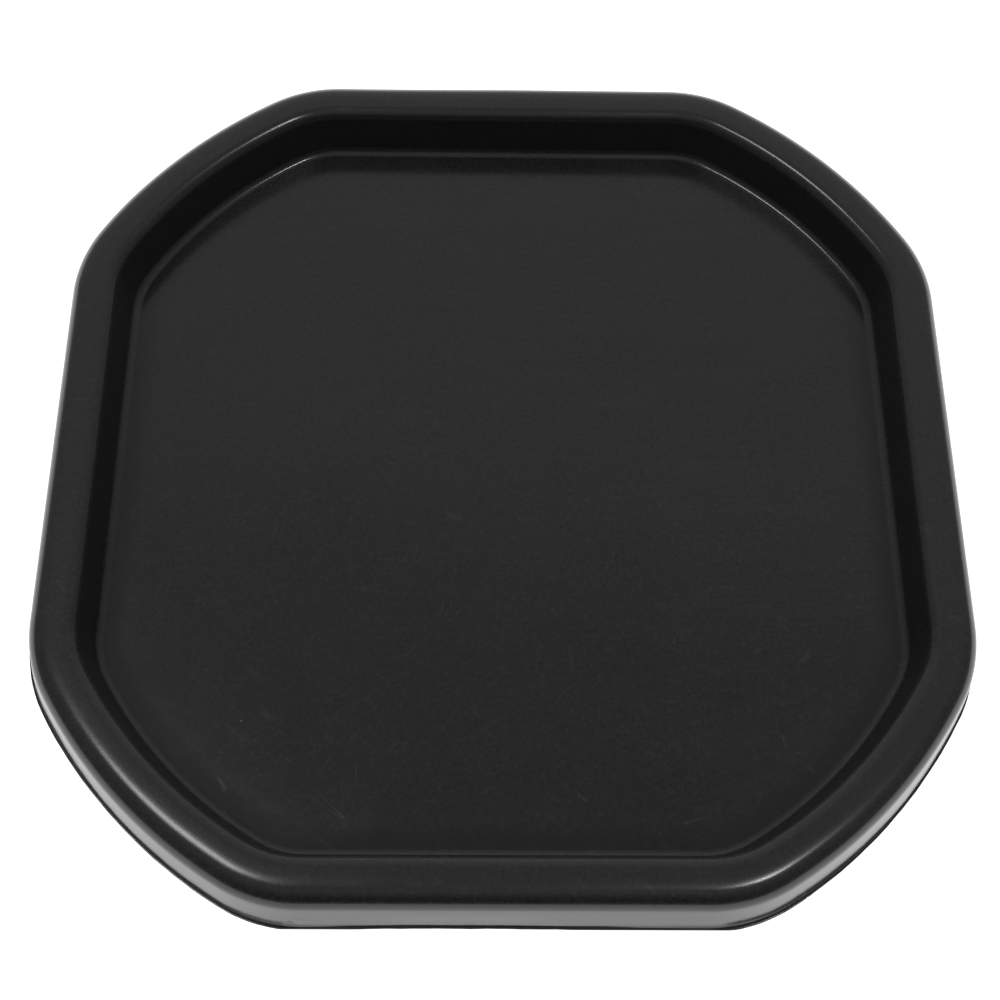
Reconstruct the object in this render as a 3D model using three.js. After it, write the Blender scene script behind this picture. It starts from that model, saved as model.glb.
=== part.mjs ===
// Octagonal mixing tray, vacuum-formed from one sheet of black high-density polyethylene.
// The sheet runs from the trimmed lip up the skirt, over the broad rim, down the inner wall
// and across the flat basin floor, so the whole object is a single closed shell.
// Millimetres, +Z up. The origin is the centre of the base at the level the tray stands on.
import * as THREE from 'three';

// ---- driving dimensions (mm, degrees) ----
const ACROSS_FLATS = 920;       // over the lip, between two opposite straight sides
const ACROSS_DIAGONALS = 1020.7; // over the lip, between two opposite bowed diagonal sides
const CORNER_RADIUS = 157.5;    // plan radius where a straight side turns into a diagonal side
const DIAGONAL_BOW = 509.2;     // plan radius of the bowed diagonal sides
const HEIGHT = 59;              // top of the rim above the ground
const SHEET = 3;                // sheet thickness
const LIP_WIDTH = 1.8;          // flat lip outside the skirt
const LIP_FILLET = 0.8;         // between lip and skirt
const SKIRT_DRAFT = 11;         // lean of the skirt from vertical
const SHOULDER_RADIUS = 22;     // outer shoulder of the rim
const CROWN_RADIUS = 55;        // softer curve that leads from the shoulder to the crest
const CROWN_ANGLE = 8.4;        // slope at which the shoulder hands over to the softer curve
const CREST_FLAT = 8.6;         // flat top of the rim
const INNER_RADIUS = 13.5;      // inner shoulder of the rim
const WALL_DRAFT = 8.5;         // lean of the inner wall from vertical
const FLOOR_FILLET = 9;         // between inner wall and floor

// ---- plan resolution ----
const FLAT_STEPS = 2;           // along half of a straight side
const CORNER_STEPS = 5;         // around one corner arc
const BOW_STEPS = 4;            // along half of a bowed side

const rad = THREE.MathUtils.degToRad;

// Section of the sheet's upper face as lines and arcs in (s, z): s is the distance inward
// from the lip's edge. drop is the depth below the upper face, so drop = SHEET gives the
// lower face with every bend kept concentric.
function sectionPath(drop) {
  const skirt = rad(SKIRT_DRAFT);
  const wall = rad(WALL_DRAFT);
  const crown = rad(CROWN_ANGLE);
  // shoulder and crown arcs, measured from the crest's outer end and then slid into place
  const shoulderDX = -(CROWN_RADIUS - SHOULDER_RADIUS) * Math.sin(crown);
  const shoulderZ = HEIGHT - CROWN_RADIUS + (CROWN_RADIUS - SHOULDER_RADIUS) * Math.cos(crown);
  const skirtTopDX = shoulderDX - SHOULDER_RADIUS * Math.cos(skirt);
  const skirtTopZ = shoulderZ + SHOULDER_RADIUS * Math.sin(skirt);
  const crestS = LIP_WIDTH + (skirtTopZ - SHEET) * Math.tan(skirt) - skirtTopDX;
  const innerC = new THREE.Vector2(crestS + CREST_FLAT, HEIGHT - INNER_RADIUS);
  // lip fillet centre: above the lip's face and outside the skirt
  const lipC = new THREE.Vector2(
    LIP_WIDTH - LIP_FILLET * Math.tan((Math.PI / 2 - skirt) / 2), SHEET + LIP_FILLET);
  // floor fillet centre: above the floor and inside the wall
  const wallTop = new THREE.Vector2(
    innerC.x + INNER_RADIUS * Math.cos(wall), innerC.y + INNER_RADIUS * Math.sin(wall));
  const floorMeetS = wallTop.x + (wallTop.y - SHEET) * Math.tan(wall);
  const floorC = new THREE.Vector2(
    floorMeetS + FLOOR_FILLET * Math.tan((Math.PI / 2 - wall) / 2), SHEET + FLOOR_FILLET);

  const path = new THREE.Path();
  path.moveTo(0, SHEET - drop);
  path.lineTo(lipC.x, SHEET - drop);
  path.absarc(lipC.x, lipC.y, LIP_FILLET + drop, -Math.PI / 2, -skirt, false);
  path.absarc(crestS + shoulderDX, shoulderZ, SHOULDER_RADIUS - drop, Math.PI - skirt, Math.PI / 2 + crown, true);
  path.absarc(crestS, HEIGHT - CROWN_RADIUS, CROWN_RADIUS - drop, Math.PI / 2 + crown, Math.PI / 2, true);
  path.absarc(innerC.x, innerC.y, INNER_RADIUS - drop, Math.PI / 2, wall, true);
  path.absarc(floorC.x, floorC.y, FLOOR_FILLET + drop, Math.PI + wall, Math.PI * 1.5, false);
  return path;
}

// The bends are sampled by angle, so the upper and lower face get matching rings.
function sampleSection(drop) {
  const path = sectionPath(drop);
  const arcSteps = [3, 6, 2, 6, 4];   // lip fillet, outer shoulder, crown, inner shoulder, floor fillet
  const out = [];
  let arc = 0;
  for (const curve of path.curves) {
    const isArc = curve instanceof THREE.EllipseCurve;
    const n = isArc ? arcSteps[arc++] : 1;
    for (let i = 0; i <= n; i++) {
      const p = curve.getPoint(i / n);
      const last = out[out.length - 1];
      if (!last || last.distanceTo(p) > 1e-6) out.push(p);
    }
  }
  return out;
}

// Plan outline at distance s inside the lip's edge, counter-clockwise from the +X side.
function outline(s) {
  const a = ACROSS_FLATS / 2 - s;
  const rCorner = CORNER_RADIUS - s;
  const rBow = DIAGONAL_BOW - s;
  const bowC = (ACROSS_DIAGONALS / 2 - DIAGONAL_BOW) / Math.SQRT2; // bow centre, on the diagonal
  const cx = a - rCorner;
  const cy = bowC + Math.sqrt((rBow - rCorner) ** 2 - (cx - bowC) ** 2);
  const turn = Math.atan2(cy - bowC, cx - bowC);
  const eighth = [];
  for (let i = 0; i < FLAT_STEPS; i++) eighth.push(new THREE.Vector2(a, (cy * i) / FLAT_STEPS));
  for (let i = 0; i < CORNER_STEPS; i++) {
    const t = (turn * i) / CORNER_STEPS;
    eighth.push(new THREE.Vector2(cx + rCorner * Math.cos(t), cy + rCorner * Math.sin(t)));
  }
  for (let i = 0; i <= BOW_STEPS; i++) {
    const t = turn + ((Math.PI / 4 - turn) * i) / BOW_STEPS;
    eighth.push(new THREE.Vector2(bowC + rBow * Math.cos(t), bowC + rBow * Math.sin(t)));
  }
  const quarter = eighth.slice();
  for (let i = eighth.length - 2; i >= 1; i--) quarter.push(new THREE.Vector2(eighth[i].y, eighth[i].x));
  const ring = [];
  for (let q = 0; q < 4; q++) {
    for (const p of quarter) ring.push(p.clone().rotateAround(new THREE.Vector2(), (q * Math.PI) / 2));
  }
  return ring;
}

// Loft the rings of the closed sheet section: upper face from the lip to the floor, a fan over
// the floor, then the lower face back out to the lip.
function shellGeometry() {
  const upper = sampleSection(0);
  const lower = sampleSection(SHEET).reverse();
  const positions = [];
  const index = [];
  const addRing = ({ x: s, y: z }) => {
    const first = positions.length / 3;
    const ring = outline(s);
    for (const p of ring) positions.push(p.x, p.y, z);
    return { first, n: ring.length };
  };
  const addPoint = (z) => {
    positions.push(0, 0, z);
    return positions.length / 3 - 1;
  };
  const bridge = (a, b) => {
    for (let i = 0; i < a.n; i++) {
      const j = (i + 1) % a.n;
      index.push(a.first + i, a.first + j, b.first + j);
      index.push(a.first + i, b.first + j, b.first + i);
    }
  };
  const top = upper.map(addRing);
  const bottom = lower.map(addRing);
  for (let i = 1; i < top.length; i++) bridge(top[i - 1], top[i]);
  for (let i = 1; i < bottom.length; i++) bridge(bottom[i - 1], bottom[i]);
  bridge(bottom[bottom.length - 1], top[0]);   // trimmed edge of the lip
  const topRing = top[top.length - 1];
  const topCentre = addPoint(SHEET);
  for (let i = 0; i < topRing.n; i++) index.push(topRing.first + i, topRing.first + ((i + 1) % topRing.n), topCentre);
  const lowRing = bottom[0];
  const lowCentre = addPoint(0);
  for (let i = 0; i < lowRing.n; i++) index.push(lowRing.first + ((i + 1) % lowRing.n), lowRing.first + i, lowCentre);

  const geometry = new THREE.BufferGeometry();
  geometry.setAttribute('position', new THREE.Float32BufferAttribute(positions, 3));
  geometry.setIndex(index);
  geometry.computeVertexNormals();
  return geometry;
}

const blackPlastic = new THREE.MeshStandardMaterial({ color: 0x17181a, roughness: 0.5, metalness: 0 });

const tray = new THREE.Group();
const shell = new THREE.Mesh(shellGeometry(), blackPlastic);
shell.name = 'tray_shell';
tray.add(shell);

export default tray;
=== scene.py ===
import bpy
import math
import numpy as np
from mathutils import Matrix, Vector


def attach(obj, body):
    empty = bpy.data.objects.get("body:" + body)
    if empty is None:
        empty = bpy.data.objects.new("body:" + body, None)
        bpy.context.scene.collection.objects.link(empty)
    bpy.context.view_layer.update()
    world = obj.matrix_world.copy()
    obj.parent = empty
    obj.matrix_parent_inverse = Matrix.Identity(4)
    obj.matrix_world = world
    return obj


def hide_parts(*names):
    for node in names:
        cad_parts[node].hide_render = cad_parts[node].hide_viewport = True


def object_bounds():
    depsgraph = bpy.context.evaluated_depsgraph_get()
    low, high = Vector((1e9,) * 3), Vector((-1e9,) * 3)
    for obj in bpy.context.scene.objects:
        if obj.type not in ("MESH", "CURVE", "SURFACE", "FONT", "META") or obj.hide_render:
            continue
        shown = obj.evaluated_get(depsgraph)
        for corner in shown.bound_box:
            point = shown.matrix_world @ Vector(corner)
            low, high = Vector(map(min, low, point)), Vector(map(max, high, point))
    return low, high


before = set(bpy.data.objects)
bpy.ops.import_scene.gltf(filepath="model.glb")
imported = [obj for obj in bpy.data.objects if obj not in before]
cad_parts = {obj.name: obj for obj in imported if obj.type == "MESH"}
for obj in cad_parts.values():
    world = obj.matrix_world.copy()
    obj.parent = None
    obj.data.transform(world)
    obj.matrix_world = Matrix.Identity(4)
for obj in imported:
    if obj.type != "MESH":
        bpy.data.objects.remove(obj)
cad_lo, cad_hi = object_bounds()

# ------------------------------------------------------------------ sizes (mm), as in the CAD
ACROSS_FLATS = 920.0
ACROSS_DIAGONALS = 1020.7
CORNER_RADIUS = 157.5
DIAGONAL_BOW = 509.2
HEIGHT = (cad_hi.z - cad_lo.z) * 1000.0
SHEET = 3.0
LIP_WIDTH = 1.8
LIP_FILLET = 0.8
SKIRT_DRAFT = math.radians(11.0)
SHOULDER_RADIUS = 22.0
CROWN_RADIUS = 55.0
CROWN_ANGLE = math.radians(8.4)
CREST_FLAT = 8.6
INNER_RADIUS = 13.5
WALL_DRAFT = math.radians(8.5)
FLOOR_FILLET = 9.0


# ------------------------------------------------------------------ plan outline
DENT = (-191.0, -452.0, 13.0)      # small knock on the skirt: where on the outline, and how high
NICK = (277.0, -430.0)             # small nick in the lip's trimmed edge


def outline():
    """Outline at the lip's edge: points, outward normals, and length along it. Inner rings are offsets along the normals."""
    a = ACROSS_FLATS / 2
    cd = (ACROSS_DIAGONALS / 2 - DIAGONAL_BOW) / math.sqrt(2)
    cx = a - CORNER_RADIUS
    cy = cd + math.sqrt((DIAGONAL_BOW - CORNER_RADIUS) ** 2 - (cx - cd) ** 2)
    turn = math.atan2(cy - cd, cx - cd)
    pts, nrm = [], []
    n_flat, n_corner, n_bow = 260, 120, 180
    for i in range(n_flat):
        pts.append((a, cy * i / n_flat))
        nrm.append((1.0, 0.0))
    for i in range(n_corner):
        t = turn * i / n_corner
        pts.append((cx + CORNER_RADIUS * math.cos(t), cy + CORNER_RADIUS * math.sin(t)))
        nrm.append((math.cos(t), math.sin(t)))
    for i in range(n_bow + 1):
        t = turn + (math.pi / 4 - turn) * i / n_bow
        pts.append((cd + DIAGONAL_BOW * math.cos(t), cd + DIAGONAL_BOW * math.sin(t)))
        nrm.append((math.cos(t), math.sin(t)))
    p, n = np.array(pts), np.array(nrm)
    p = np.vstack([p, p[-2:0:-1, ::-1]])
    n = np.vstack([n, n[-2:0:-1, ::-1]])
    rot = np.array([[0.0, -1.0], [1.0, 0.0]])
    P, N = [p], [n]
    for _ in range(3):
        P.append(P[-1] @ rot.T)
        N.append(N[-1] @ rot.T)
    P, N = np.vstack(P), np.vstack(N)
    step = np.hypot(*(np.roll(P, -1, axis=0) - P).T)
    along = np.concatenate([[0], np.cumsum(step)])
    total, along = along[-1], along[:-1]
    # keep a point every few millimetres, and closer ones near the small marks
    bend = np.degrees(np.arccos(np.clip((N * np.roll(N, 1, axis=0)).sum(1), -1, 1))).cumsum()
    keep = [0]
    for i in range(1, len(P)):
        near = min(math.hypot(P[i, 0] - DENT[0], P[i, 1] - DENT[1]) - 10, math.hypot(P[i, 0] - NICK[0], P[i, 1] - NICK[1]) - 3)
        want = 0.9 if near < 0 else (2.5 if near < 8 else 7.0)
        if along[i] - along[keep[-1]] >= want or bend[i] - bend[keep[-1]] >= 1.6:
            keep.append(i)
    if total - along[keep[-1]] < 1.0:
        keep.pop()
    return P[keep], N[keep], along[keep], total


# ------------------------------------------------------------------ section of the sheet
def walk(segments, blur, step=0.1):
    """Walks a section made of (length, turn) pieces, with the curvature blurred so that the bends run softly into the straights.
    Returns distance, drop and slope at each step; the slope starts at 0 and is positive downhill."""
    k = np.concatenate([np.full(max(1, round(l / step)), t / (max(1, round(l / step)) * step)) for l, t in segments])
    w = int(4 * blur / step)
    g = np.exp(-0.5 * (np.arange(-w, w + 1) * step / blur) ** 2)
    k = np.convolve(np.pad(k, w), g / g.sum(), mode="valid")
    th = np.concatenate([[0], np.cumsum(k) * step])
    mid = (th[1:] + th[:-1]) / 2
    s = np.concatenate([[0], np.cumsum(np.cos(mid)) * step])
    z = np.concatenate([[0], np.cumsum(np.sin(mid)) * step])
    return s, z, th


def thin_out(s, z, th, turn=math.radians(3.0), reach=3.6):
    """Keeps the points that the shape needs: one for each small turn, and one for each few millimetres of straight."""
    keep, l = [0], 0.0
    for i in range(1, len(s) - 1):
        l += math.hypot(s[i] - s[i - 1], z[i] - z[i - 1])
        if abs(th[i] - th[keep[-1]]) >= turn or l >= reach:
            keep.append(i)
            l = 0.0
    keep.append(len(s) - 1)
    return s[keep], z[keep], th[keep]


def half_section(drop_to, segments, straight, blur):
    """One half of the section from the middle of the crest. The straight piece's length is set so that it ends drop_to below the crest."""
    segs = [list(x) for x in segments]
    for _ in range(4):
        s, z, th = walk(segs, blur)
        slope = max(abs(th))
        segs[straight][0] += (drop_to - z[-1]) / math.sin(slope)
    s, z, th = walk(segs, blur)
    at = np.hypot(np.diff(s), np.diff(z)).cumsum()
    z = z + (drop_to - z[-1]) * np.concatenate([[0], at / at[-1]])
    return s, z, th


def section():
    """Upper face of the sheet from the lip's edge to the edge of the flat floor: distance in from the lip, height, slope (positive uphill, going in)."""
    lean_out, lean_in = math.pi / 2 - SKIRT_DRAFT, math.pi / 2 - WALL_DRAFT
    drop = HEIGHT - SHEET
    tl = LIP_FILLET * math.tan(lean_out / 2)
    so, zo, to = half_section(drop, [
        (CREST_FLAT / 2, math.radians(0.5)),
        (CROWN_RADIUS * CROWN_ANGLE, CROWN_ANGLE - math.radians(0.5)),
        (SHOULDER_RADIUS * (lean_out - CROWN_ANGLE), lean_out - CROWN_ANGLE),
        (32.0, 0.0),
        (LIP_FILLET * lean_out, -lean_out),
        (LIP_WIDTH - tl, 0.0)], 3, 0.45)
    si, zi, ti = half_section(drop, [
        (CREST_FLAT / 2, math.radians(0.5)),
        (INNER_RADIUS * lean_in, lean_in - math.radians(0.5)),
        (40.0, 0.0),
        (FLOOR_FILLET * lean_in, -lean_in),
        (4.0, 0.0)], 2, 0.9)
    edge = so[-1]
    so, zo, to = thin_out(so, zo, to)
    si, zi, ti = thin_out(si, zi, ti)
    rows = [(edge - s, HEIGHT - z, t) for s, z, t in zip(so[::-1], zo[::-1], to[::-1])]
    rows += [(edge + s, HEIGHT - z, -t) for s, z, t in zip(si[1:], zi[1:], ti[1:])]
    return rows


def smooth(a, b, x):
    t = np.clip((x - a) / (b - a), 0, 1)
    return t * t * (3 - 2 * t)


def waves(x, y, seed, scale, octaves=3):
    """Smooth seeded waves, about -1 to 1, for the sheet's slight unevenness."""
    rng = np.random.default_rng(seed)
    out = np.zeros_like(x)
    amp, total = 1.0, 0.0
    for o in range(octaves):
        for _ in range(6):
            t = rng.uniform(0, 2 * math.pi)
            f = rng.uniform(0.7, 1.4) * 2 * math.pi / scale * (2 ** o)
            out = out + amp * np.sin((x * math.cos(t) + y * math.sin(t)) * f + rng.uniform(0, 2 * math.pi))
        total += amp * 6
        amp *= 0.5
    return out / total * 2.0


# how far the trimmed lip stands out of, or inside, its true outline: compass angle in degrees, millimetres
LIP_WANDER = ((-180, 0.0), (-175, 0.0), (-170, 0.0), (-165, 0.0), (-160, 0.0), (-155, 0.0), (-150, 0.7), (-145, 0.8), (-140, 0.6), (-135, 0.5), (-130, 0.8), (-125, 0.9), (-120, 1.2), (-115, 1.8), (-110, 1.1), (-105, -0.1), (-100, -0.6), (-95, -0.5), (-90, -0.5), (-85, -0.1), (-80, 0.3), (-75, 0.9), (-70, 1.9), (-65, 2.2), (-60, 2.0), (-55, 1.5), (-50, 1.0), (-45, 0.3), (-40, -0.3), (-35, -0.7), (-30, -1.0), (-25, -1.3), (-20, -0.0), (-15, 0.0), (-10, 0.0), (-5, 0.0), (0, 0.0), (5, 0.0), (90, 0.0))


def build_shell():
    P, N, along, total = outline()
    n = len(P)
    top = section()
    floor_s = top[-1][0]
    base = P - N * floor_s                       # edge of the flat floor
    grow = [0.03, 0.07, 0.12, 0.18, 0.24, 0.30, 0.36, 0.42, 0.48, 0.54, 0.60, 0.66, 0.72, 0.78, 0.84, 0.89, 0.93, 0.96, 0.98, 0.993]
    rings = []                                   # each ring: xy points, z, which face, distance in from the lip
    for k in grow:
        rings.append((base * k, np.full(n, SHEET), 0, floor_s + (1 - k) * 386))
    for s, z, th in top[::-1]:
        if s > 0.3:
            rings.append((P - N * s, np.full(n, z), 1, s))
    # trimmed edge of the lip: a cut face with its corners barely broken
    for s, z in ((0.12, SHEET - 0.02), (0.0, SHEET - 0.22), (0.0, SHEET * 0.62), (0.0, SHEET * 0.3), (0.0, 0.22), (0.12, 0.02)):
        rings.append((P - N * s, np.full(n, z), 2, s))
    # lower face: the upper one moved in by the sheet's thickness
    low = [(s + SHEET * math.sin(th), z - SHEET * math.cos(th)) for s, z, th in top]
    low = low[:-1:2] + [low[-1]]                 # never seen close, so every other ring is enough
    for s, z in low:
        if s > 0.5:
            rings.append((P - N * s, np.full(n, max(z, 0.0)), 3, s))
    base_low = P - N * low[-1][0]
    for k in grow[::-2]:
        rings.append((base_low * k, np.zeros(n), 4, floor_s + (1 - k) * 386))
    m = len(rings)
    V = np.vstack([np.column_stack([xy, z]) for xy, z, _, _ in rings] + [[[0, 0, SHEET], [0, 0, 0]]])
    tag = np.concatenate([np.full(n, t) for _, _, t, _ in rings] + [[0, 4]])
    inset = np.concatenate([np.full(n, s) for _, _, _, s in rings] + [[floor_s + 386] * 2])
    run = np.concatenate([along] * m + [[0, 0]])
    out = np.vstack([N] * m + [[[1, 0], [1, 0]]])

    # the flat base is drawn up a little in the middle, and is never quite even
    r = np.hypot(V[:, 0], V[:, 1])
    on_base = (tag == 0) | (tag == 4)
    lift = 0.45 + 0.25 * waves(V[:, 0], V[:, 1], 11, 260)
    edge_r = np.maximum(np.abs(V[:, 0]), np.abs(V[:, 1]))
    inside = smooth(0, 70, 386 - np.maximum(edge_r, r * 386 / 436))
    V[:, 2] += np.where(on_base, lift * inside, 0)

    # the rim's crest dips by a few hundredths of a millimetre here and there
    crown = smooth(40, 56, V[:, 2])
    V[:, 2] -= crown * (0.09 + 0.045 * waves(V[:, 0], V[:, 1], 23, 95))

    # skirt and lip: the skirt is drawn in a little along the sides, and the lip was trimmed by hand
    compass = np.degrees(np.arctan2(V[:, 1], V[:, 0]))
    table = np.array(LIP_WANDER)
    wander = np.interp(compass, table[:, 0], table[:, 1], period=360)
    foot = smooth(0, 1, (34 - V[:, 2]) / 28) * (inset < 40)
    lip_only = smooth(0, 1, (LIP_WIDTH + 0.7 - inset) / 1.0)
    ragged = 0.10 * np.sin(run * 2 * math.pi / total * 61 + 1.0) + 0.07 * np.sin(run * 2 * math.pi / total * 143 + 2.0) + 0.04 * np.sin(run * 2 * math.pi / total * 307)
    push = np.minimum(wander, 0) * foot + (np.maximum(wander, 0) + ragged - 0.21) * lip_only
    # a knock on the skirt
    d_along = (V[:, 0] - DENT[0]) * 0.98 + (V[:, 1] - DENT[1]) * -0.2
    near = np.hypot(V[:, 0] - DENT[0], V[:, 1] - DENT[1]) < 30
    hit = np.exp(-0.5 * ((d_along / 3.4) ** 2 + ((V[:, 2] - DENT[2]) / 2.2) ** 2)) - 0.45 * np.exp(-0.5 * ((d_along / 6.0) ** 2 + ((V[:, 2] - DENT[2] - 3.5) / 2.4) ** 2))
    push -= 0.9 * hit * near * (inset < 25) * (inset > LIP_WIDTH)
    # a nick in the lip's edge, with the burr beside it
    q = np.hypot(V[:, 0] - NICK[0], V[:, 1] - NICK[1])
    side = (V[:, 0] - NICK[0])
    push += lip_only * (-1.1 * np.exp(-0.5 * (q / 0.9) ** 2) + 1.3 * np.exp(-0.5 * (np.hypot(side - 2.6, q * 0.5) / 1.1) ** 2)) * (q < 8)
    # the far left corner is drawn in by about a millimetre, to fit the outline; this may be a camera error instead
    pull = np.clip(1 - np.abs(compass - 117) / 27, 0, 1)
    push -= 1.0 * pull * (3 - 2 * pull) * smooth(0, 1, (48 - inset) / 24) * (inset < 48)
    V[:, :2] += out * push[:, None]
    V[:, :2] = np.clip(V[:, :2], -ACROSS_FLATS / 2, ACROSS_FLATS / 2)
    V[:, 2] = np.clip(V[:, 2], 0, HEIGHT)

    faces = []
    idx = np.arange(n)
    nxt = (idx + 1) % n
    for k in range(m - 1):
        a, b = k * n, (k + 1) * n
        faces.append(np.column_stack([a + idx, b + idx, b + nxt, a + nxt]))
    faces = np.vstack(faces).tolist()
    ct, cb = m * n, m * n + 1
    for i in range(n):
        faces.append([i, int(nxt[i]), ct])
        faces.append([(m - 1) * n + int(nxt[i]), (m - 1) * n + i, cb])
    mesh = bpy.data.meshes.new("tray_sheet")
    mesh.from_pydata((V / 1000.0).tolist(), [], faces)
    for name, values in (("inset", inset), ("along", run)):
        at = mesh.attributes.new(name, "FLOAT", "POINT")
        at.data.foreach_set("value", values.astype(np.float32))
    mesh.validate()
    mesh.update()
    mesh.polygons.foreach_set("use_smooth", [True] * len(mesh.polygons))
    obj = bpy.data.objects.new("tray_sheet", mesh)
    bpy.context.scene.collection.objects.link(obj)
    return obj


shell = build_shell()
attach(shell, "root")
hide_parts("tray_shell")


# ------------------------------------------------------------------ material
def math_node(nt, op, a, b=None, c=None, clamp=False):
    n = nt.nodes.new("ShaderNodeMath")
    n.operation = op
    n.use_clamp = clamp
    for i, v in enumerate((a, b, c)):
        if v is None:
            continue
        if isinstance(v, (int, float)):
            n.inputs[i].default_value = v
        else:
            nt.links.new(v, n.inputs[i])
    return n.outputs[0]


def new_material(name):
    m = bpy.data.materials.new(name)
    m.use_nodes = True
    nt = m.node_tree
    nt.nodes.clear()
    return m, nt


class Net:
    """Short names for the shader nodes that the plastic is made of. Lengths are in millimetres."""

    def __init__(self, nt):
        self.nt = nt
        tc = nt.nodes.new("ShaderNodeTexCoord")
        v = nt.nodes.new("ShaderNodeVectorMath")
        v.operation = "SCALE"
        v.inputs["Scale"].default_value = 1000.0
        nt.links.new(tc.outputs["Object"], v.inputs[0])
        self.co = v.outputs[0]
        sep = nt.nodes.new("ShaderNodeSeparateXYZ")
        nt.links.new(self.co, sep.inputs[0])
        self.x, self.y, self.z = sep.outputs

    def attr(self, name):
        n = self.nt.nodes.new("ShaderNodeAttribute")
        n.attribute_name = name
        return n.outputs["Fac"]

    def op(self, op, a, b=None, c=None, clamp=False):
        return math_node(self.nt, op, a, b, c, clamp)

    def add(self, *v):
        out = v[0]
        for w in v[1:]:
            out = self.op("ADD", out, w)
        return out

    def mul(self, *v):
        out = v[0]
        for w in v[1:]:
            out = self.op("MULTIPLY", out, w)
        return out

    def step(self, lo, hi, x):
        """0 below lo, 1 above hi, smooth between; lo may be the larger."""
        n = self.nt.nodes.new("ShaderNodeMapRange")
        n.interpolation_type = "SMOOTHSTEP"
        self.nt.links.new(x, n.inputs["Value"])
        if lo < hi:
            n.inputs["From Min"].default_value, n.inputs["From Max"].default_value = lo, hi
        else:
            n.inputs["From Min"].default_value, n.inputs["From Max"].default_value = hi, lo
            n.inputs["To Min"].default_value, n.inputs["To Max"].default_value = 1.0, 0.0
        return n.outputs["Result"]

    def vec(self, x, y, z=0.0):
        n = self.nt.nodes.new("ShaderNodeCombineXYZ")
        for i, v in enumerate((x, y, z)):
            if isinstance(v, (int, float)):
                n.inputs[i].default_value = v
            else:
                self.nt.links.new(v, n.inputs[i])
        return n.outputs[0]

    def turn(self, degrees, sx, sy, shift=(0.0, 0.0, 0.0), vec=None):
        """Turned about Z, then stretched: sx and sy are the pattern's lengths along and across."""
        n = self.nt.nodes.new("ShaderNodeMapping")
        n.vector_type = "TEXTURE"
        n.inputs["Rotation"].default_value = (0, 0, math.radians(degrees))
        n.inputs["Scale"].default_value = (sx, sy, max(sx, sy))
        n.inputs["Location"].default_value = shift
        self.nt.links.new(vec or self.co, n.inputs["Vector"])
        return n.outputs[0]

    def noise(self, size, vec=None, detail=2.0, rough=0.5, warp=0.0):
        n = self.nt.nodes.new("ShaderNodeTexNoise")
        n.inputs["Scale"].default_value = 1.0 / size
        n.inputs["Detail"].default_value = detail
        n.inputs["Roughness"].default_value = rough
        n.inputs["Distortion"].default_value = warp
        self.nt.links.new(vec or self.co, n.inputs["Vector"])
        return n.outputs["Fac"]

    def voronoi(self, size):
        """Distance, as a share of the cell size, from the nearest of some scattered points."""
        n = self.nt.nodes.new("ShaderNodeTexVoronoi")
        n.inputs["Scale"].default_value = 1.0 / size
        self.nt.links.new(self.co, n.inputs["Vector"])
        return n.outputs["Distance"]

    def blob(self, x, y, z=None):
        """Distance from a point."""
        n = self.nt.nodes.new("ShaderNodeVectorMath")
        n.operation = "DISTANCE"
        if z is None:
            self.nt.links.new(self.vec(self.x, self.y), n.inputs[0])
            n.inputs[1].default_value = (x, y, 0)
        else:
            self.nt.links.new(self.co, n.inputs[0])
            n.inputs[1].default_value = (x, y, z)
        return n.outputs["Value"]


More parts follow.
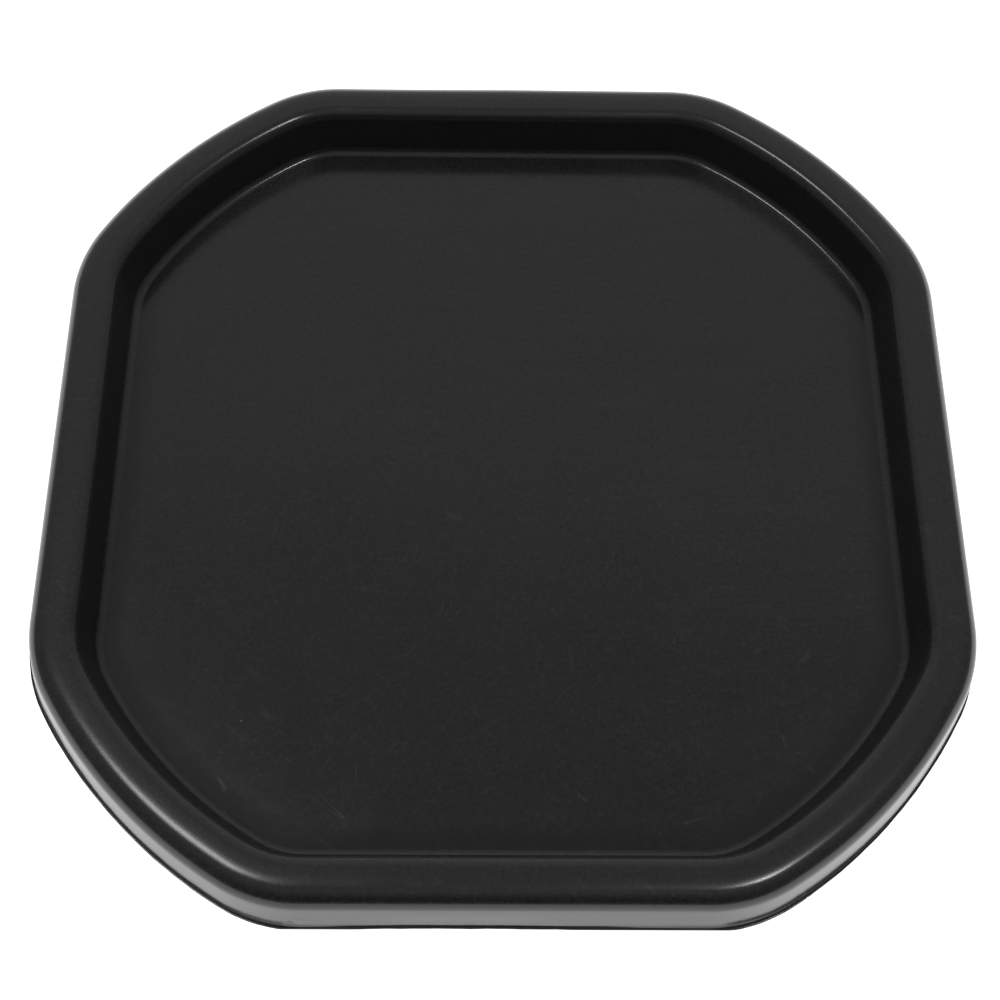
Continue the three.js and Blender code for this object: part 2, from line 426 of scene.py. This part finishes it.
def black_plastic():
    m, nt = new_material("black_plastic")
    out = nt.nodes.new("ShaderNodeOutputMaterial")
    b = nt.nodes.new("ShaderNodeBsdfPrincipled")
    nt.links.new(b.outputs[0], out.inputs[0])
    b.inputs["IOR"].default_value = 1.5
    N = Net(nt)
    inset, along = N.attr("inset"), N.attr("along")
    rim = N.step(5.0, 14.0, N.z)                                       # 0 on the floor, 1 on the wall, rim and skirt
    floor = N.op("SUBTRACT", 1.0, rim)
    across = N.vec(N.mul(along, 1.0), N.mul(inset, 1.0))               # along and across the rim

    # --- grain: a fine pebble that the hot sheet took from the mould, and finer speckle
    pebble = N.noise(4.2, detail=2.0, rough=0.65)
    dash = N.noise(1.0, vec=N.turn(38, 5.6, 2.0), detail=1.0)
    clump = N.noise(11.0, detail=1.0)
    speckle = N.noise(1.5, detail=2.0, rough=0.6)
    patch = N.noise(46.0, detail=3.0, rough=0.55, warp=0.6)             # where the grain shows more and less
    grain = N.add(N.mul(N.op("SUBTRACT", pebble, 0.5), 1.0), N.mul(N.op("SUBTRACT", speckle, 0.5), 0.7))
    grain = N.add(grain, N.mul(N.step(0.52, 0.74, dash), N.step(0.40, 0.62, clump), N.step(200, -80, N.y), 0.42), -0.03)
    grain = N.mul(grain, N.add(0.78, N.mul(N.step(0.34, 0.72, patch), 0.55)))

    # --- clouding: slow changes in how much the surface has been rubbed (cloud); and the floor made duller and darker towards the front (dull)
    cloud = N.op("SUBTRACT", N.noise(120.0, detail=3.0, rough=0.5, warp=0.8), 0.5)
    dull = N.noise(1.0, vec=N.turn(8, 210, 75, (40, -60, 0)), detail=3.0, rough=0.5)
    dull = N.mul(N.add(0.25, N.mul(dull, 1.3)), N.step(70, -200, N.add(N.y, N.mul(N.x, 0.16))), floor)  # duller, darker front half

    # --- fine draw lines across the floor, faint, mostly in the back right
    lines = N.noise(1.0, vec=N.turn(1.2, 150, 1.7), detail=2.0, rough=0.6)
    lines = N.mul(N.op("SUBTRACT", lines, 0.5), N.step(-260, 160, N.add(N.x, N.mul(N.y, 0.9))), floor)

    # --- scratches: thin light lines at several angles, each set broken up into patches
    bent = nt.nodes.new("ShaderNodeVectorMath")
    bent.operation = "MULTIPLY_ADD"
    soft = nt.nodes.new("ShaderNodeTexNoise")
    soft.inputs["Scale"].default_value = 1 / 90.0
    soft.inputs["Detail"].default_value = 1.0
    nt.links.new(N.co, soft.inputs["Vector"])
    nt.links.new(soft.outputs["Color"], bent.inputs[0])
    bent.inputs[1].default_value = (9, 9, 0)
    nt.links.new(N.co, bent.inputs[2])
    scratch = None
    for k, (deg, length, gap, width, cover) in enumerate((
            (-38, 420, 15.0, 0.009, 0.63), (52, 360, 13.0, 0.009, 0.63), (98, 500, 18.0, 0.006, 0.65), (14, 450, 17.0, 0.007, 0.65))):
        v = N.turn(deg, length, gap, (17.0 * k, 31.0 * k, 0), vec=bent.outputs[0])
        f = N.noise(1.0, vec=v, detail=0.0)
        line = N.step(width, width * 0.25, N.op("ABSOLUTE", N.op("SUBTRACT", f, 0.5)))
        where = N.step(cover, cover + 0.06, N.noise(17.0 + 3 * k, vec=N.turn(deg, 2.0, 1.0, (211.0 * k, 97.0, 0)), detail=1.0))
        line = N.mul(line, where)
        scratch = line if scratch is None else N.op("MAXIMUM", scratch, line)
    worn = N.mul(N.add(0.35, N.mul(0.65, N.step(140, -140, N.y))), N.add(0.25, N.mul(floor, 0.75)))
    scratch = N.mul(scratch, worn)

    # --- scuffs: soft pale rubs
    scuff = N.noise(1.0, vec=N.turn(-30, 46, 17, (90, 20, 0)), detail=4.0, rough=0.6, warp=0.5)
    scuff = N.mul(N.step(0.60, 0.78, scuff), N.add(0.4, N.mul(0.6, N.step(100, -200, N.y))))

    # --- moulding marks: two faint rings on the floor, at opposite corners, and a painted highlight: a small bright glint on the near right ring
    rings_and_glint = None
    for x, y, strength in ((-254.0, 289.0, 0.6), (255.0, -286.0, 1.0)):
        d = N.blob(x, y)
        edge = N.step(1.3, 0.3, N.op("ABSOLUTE", N.op("SUBTRACT", d, 11.2)))
        edge = N.mul(edge, N.step(0.35, 0.62, N.noise(9.0, detail=1.0)), strength)
        rings_and_glint = edge if rings_and_glint is None else N.add(rings_and_glint, edge)
    # painted highlight: a small bright glint on the near right ring, added to the base colour with the rings
    glint = N.mul(N.step(5.5, 2.0, N.blob(265.5, -282.0)), N.step(1.4, 0.4, N.op("ABSOLUTE", N.op("SUBTRACT", N.blob(255.0, -286.0), 11.2))))
    rings_and_glint = N.mul(N.add(N.mul(rings_and_glint, 0.45), glint), floor)

    # --- chill lines that follow the rim on the floor, near the front corners
    wob = N.mul(N.op("SUBTRACT", N.noise(70.0, detail=1.0), 0.5), 5.0)
    depth = N.add(inset, wob)
    band = N.mul(N.step(12.0, 0.0, N.op("ABSOLUTE", N.op("SUBTRACT", depth, 94.0))), N.step(0.36, 0.62, N.noise(52.0, detail=2.0)))
    fine = N.step(0.9, 0.1, N.op("ABSOLUTE", N.op("SUBTRACT", N.op("FRACT", N.op("DIVIDE", depth, 6.5)), 0.5)))
    fine = N.mul(N.op("SUBTRACT", fine, 0.5), N.step(70, 76, inset), N.step(118, 100, inset))
    left_front = N.step(420, 560, N.add(N.mul(N.x, -1.0), N.mul(N.y, -1.0)))
    right_front = N.step(430, 560, N.add(N.x, N.mul(N.y, -1.0)))
    chill = N.add(N.mul(band, left_front, 1.0), N.mul(fine, N.add(left_front, N.mul(right_front, 0.8)), 0.25))
    chill = N.mul(chill, floor)

    # --- a fleck of dust or two
    fleck = N.step(1.0, 0.45, N.blob(-250.3, -267.1))
    flecks = N.step(0.015, 0.007, N.voronoi(62.0))
    fleck = N.op("MAXIMUM", fleck, N.mul(flecks, 0.35))

    # --- streaks across the rim, where the sheet slid over the mould
    streak = N.op("SUBTRACT", N.noise(1.0, vec=N.turn(0, 2.1, 26.0, vec=across), detail=3.0, rough=0.65), 0.5)
    streak = N.mul(streak, rim)

    # --- the trimmed edge: cut, matt and paler
    cut = N.mul(N.step(0.45, 0.05, inset), N.step(3.2, 2.9, N.z))

    # --- painted shade: a darker strip of floor along the foot of the near and side walls, where the walls shade the floor; tuned for brightness and not a known mark
    foot = N.mul(N.step(101, 74, inset), N.step(70.5, 73.0, inset), N.mul(floor, N.step(290, 110, N.y)))

    # base colour
    k = N.add(1.0, N.mul(grain, 1.35), N.mul(cloud, 0.30), N.mul(lines, 0.8), N.mul(dull, -0.36), N.mul(chill, 0.48), N.mul(streak, 0.35))
    # the painted shade along the wall foot darkens the base colour here
    k = N.mul(k, N.add(1.0, N.mul(foot, -0.62)))
    # the rings bring their painted glint highlight into the base colour here
    k = N.add(k, N.mul(scratch, 0.42), N.mul(scuff, 0.35), N.mul(rings_and_glint, 0.9), N.mul(fleck, 9.0), N.mul(cut, 0.9))
    shade = N.op("MAXIMUM", N.mul(k, 0.0158), 0.002)
    col = nt.nodes.new("ShaderNodeCombineColor")
    nt.links.new(N.mul(shade, 0.985), col.inputs[0])
    nt.links.new(shade, col.inputs[1])
    nt.links.new(N.mul(shade, 1.02), col.inputs[2])
    nt.links.new(col.outputs[0], b.inputs["Base Color"])

    # roughness; the steep wall is set duller, a value tuned for its brightness and not a known finish
    wall = N.mul(N.step(55.5, 59.0, inset), rim)
    r = N.add(0.165, N.mul(wall, 0.22), N.mul(rim, 0.030), N.mul(cloud, 0.03), N.mul(N.op("SUBTRACT", patch, 0.5), 0.05), N.mul(scuff, 0.05), N.mul(scratch, 0.10), N.mul(dull, 0.02), N.mul(cut, 0.3))
    nt.links.new(N.op("MAXIMUM", r, 0.08), b.inputs["Roughness"])

    # bump, with the height in metres
    h = N.add(N.mul(pebble, 3.6e-6), N.mul(streak, 3.0e-6), N.mul(N.noise(34.0, detail=1.0), 2.6e-5))
    bump = nt.nodes.new("ShaderNodeBump")
    bump.inputs["Strength"].default_value = 1.0
    bump.inputs["Distance"].default_value = 1.0
    nt.links.new(h, bump.inputs["Height"])
    nt.links.new(bump.outputs[0], b.inputs["Normal"])
    return m


shell.data.materials.append(black_plastic())

# ------------------------------------------------------------------ stage and light
FLOOR_GLOW = 1.0
# brightness of the studio towards the back, the sides and the front, by height of the direction: 0 level, 1 straight up
BACK = ((0.0, 0.80), (0.20, 0.66), (0.42, 0.64), (0.62, 0.60), (0.78, 0.52), (0.88, 0.46), (1.0, 0.30))
SIDE = ((0.0, 0.34), (0.20, 0.22), (0.45, 0.27), (0.70, 0.33), (0.86, 0.38), (1.0, 0.32))
FRONT = ((0.0, 0.16), (0.30, 0.02), (0.50, 0.06), (0.70, 0.22), (0.87, 0.42), (1.0, 0.34))
world = bpy.data.worlds.new("studio")
bpy.context.scene.world = world
world.use_nodes = True
wn = world.node_tree
wn.nodes.clear()
wo = wn.nodes.new("ShaderNodeOutputWorld")


def curve_node(nt, x, points, top=2.0):
    """A brightness curve over 0 to 1, as a colour ramp of greys scaled by top."""
    r = nt.nodes.new("ShaderNodeValToRGB")
    r.color_ramp.interpolation = "EASE"
    e = r.color_ramp.elements
    while len(e) > 1:
        e.remove(e[-1])
    e[0].position, v = points[0][0], points[0][1] / top
    e[0].color = (v, v, v, 1)
    for p, v in points[1:]:
        n = e.new(p)
        n.color = (v / top, v / top, v / top, 1)
    nt.links.new(x, r.inputs[0])
    return math_node(nt, "MULTIPLY", r.outputs[0], top)


tc = wn.nodes.new("ShaderNodeTexCoord")
sep = wn.nodes.new("ShaderNodeSeparateXYZ")
wn.links.new(tc.outputs["Generated"], sep.inputs[0])
dx, dy, dz = sep.outputs
flat = math_node(wn, "SQRT", math_node(wn, "MAXIMUM", math_node(wn, "SUBTRACT", 1.0, math_node(wn, "MULTIPLY", dz, dz)), 0.0001))
ahead = math_node(wn, "DIVIDE", dy, flat)                       # +1 towards the back, -1 towards the front
wb = math_node(wn, "MULTIPLY", math_node(wn, "MAXIMUM", ahead, 0.0), math_node(wn, "MAXIMUM", ahead, 0.0))
wf = math_node(wn, "MULTIPLY", math_node(wn, "MINIMUM", ahead, 0.0), math_node(wn, "MINIMUM", ahead, 0.0))
ws = math_node(wn, "SUBTRACT", 1.0, math_node(wn, "ADD", wb, wf))
glow = math_node(wn, "ADD", math_node(wn, "MULTIPLY", wb, curve_node(wn, dz, BACK)),
                 math_node(wn, "ADD", math_node(wn, "MULTIPLY", ws, curve_node(wn, dz, SIDE)),
                           math_node(wn, "MULTIPLY", wf, curve_node(wn, dz, FRONT))))
studio = wn.nodes.new("ShaderNodeBackground")
studio.inputs[0].default_value = (1, 1, 1, 1)
wn.links.new(glow, studio.inputs[1])
white = wn.nodes.new("ShaderNodeBackground")
white.inputs[0].default_value = (1, 1, 1, 1)
white.inputs[1].default_value = 1.2
lp = wn.nodes.new("ShaderNodeLightPath")
mixw = wn.nodes.new("ShaderNodeMixShader")
wn.links.new(lp.outputs["Is Camera Ray"], mixw.inputs[0])
wn.links.new(studio.outputs[0], mixw.inputs[1])
wn.links.new(white.outputs[0], mixw.inputs[2])
wn.links.new(mixw.outputs[0], wo.inputs[0])

floor_mesh = bpy.data.meshes.new("studio_floor")
R = 30.0
floor_mesh.from_pydata([(-R, -R, -0.0006), (R, -R, -0.0006), (R, R, -0.0006), (-R, R, -0.0006)], [], [(0, 1, 2, 3)])
floor = bpy.data.objects.new("studio_floor", floor_mesh)
bpy.context.scene.collection.objects.link(floor)
fm, fnt = new_material("pale_floor")
fo = fnt.nodes.new("ShaderNodeOutputMaterial")
fb = fnt.nodes.new("ShaderNodeBsdfPrincipled")
fb.inputs["Base Color"].default_value = (0.82, 0.82, 0.82, 1)
fb.inputs["Roughness"].default_value = 0.9
fb.inputs["Emission Color"].default_value = (1, 1, 1, 1)
fb.inputs["Emission Strength"].default_value = FLOOR_GLOW
fnt.links.new(fb.outputs[0], fo.inputs[0])
floor_mesh.materials.append(fm)


def softbox(name, direction, distance, size, radiance, along, target=(0, 0, 0.03), shape="ELLIPSE"):
    """An area light of a given radiance, facing the target from that direction; its long side runs along the given one."""
    l = bpy.data.lights.new(name, "AREA")
    l.shape = shape
    l.size, l.size_y = size
    area = size[0] * size[1] * (math.pi / 4 if shape in ("DISK", "ELLIPSE") else 1)
    l.energy = radiance * math.pi * area
    o = bpy.data.objects.new(name, l)
    d = Vector(direction).normalized()
    o.location = Vector(target) + d * distance
    side = Vector(along)
    side = (side - d * side.dot(d)).normalized()
    o.rotation_euler = Matrix((side, d.cross(side), d)).transposed().to_euler()
    o.visible_camera = False
    bpy.context.scene.collection.objects.link(o)
    return o


softbox("key_left", (-0.325, 0.008, 0.946), 9.0, (2.30, 1.15), 14.5, (0.81, -0.58, 0))
softbox("key_right", (0.330, -0.178, 0.925), 7.5, (0.95, 0.62), 44.0, (0.88, 0.47, 0))

# ------------------------------------------------------------------ camera
yaw, el, roll = math.radians(-2.30), math.radians(65.47), math.radians(2.52)
back = Vector((math.sin(yaw) * math.cos(el), -math.cos(yaw) * math.cos(el), math.sin(el)))
right = Vector((math.cos(yaw), math.sin(yaw), 0))
up = back.cross(right)
r2 = right * math.cos(roll) + up * math.sin(roll)
u2 = -right * math.sin(roll) + up * math.cos(roll)
cam_data = bpy.data.cameras.new("camera")
cam = bpy.data.objects.new("camera", cam_data)
bpy.context.scene.collection.objects.link(cam)
cam_data.sensor_width = 36.0
cam_data.lens = 1569.13 / 1000.0 * 36.0
cam_data.clip_start, cam_data.clip_end = 0.01, 100
cam_data.dof.use_dof = False
pos = Vector((-0.00406, -0.03296, 0.0)) + back * 1.59490
cam.matrix_world = Matrix(((r2.x, u2.x, back.x, pos.x), (r2.y, u2.y, back.y, pos.y), (r2.z, u2.z, back.z, pos.z), (0, 0, 0, 1)))
bpy.context.scene.camera = cam

bpy.context.scene.view_settings.view_transform = "Standard"
bpy.context.scene.view_settings.look = "None"
bpy.context.scene.view_settings.exposure = 0.0
bpy.context.scene.view_settings.gamma = 1.0
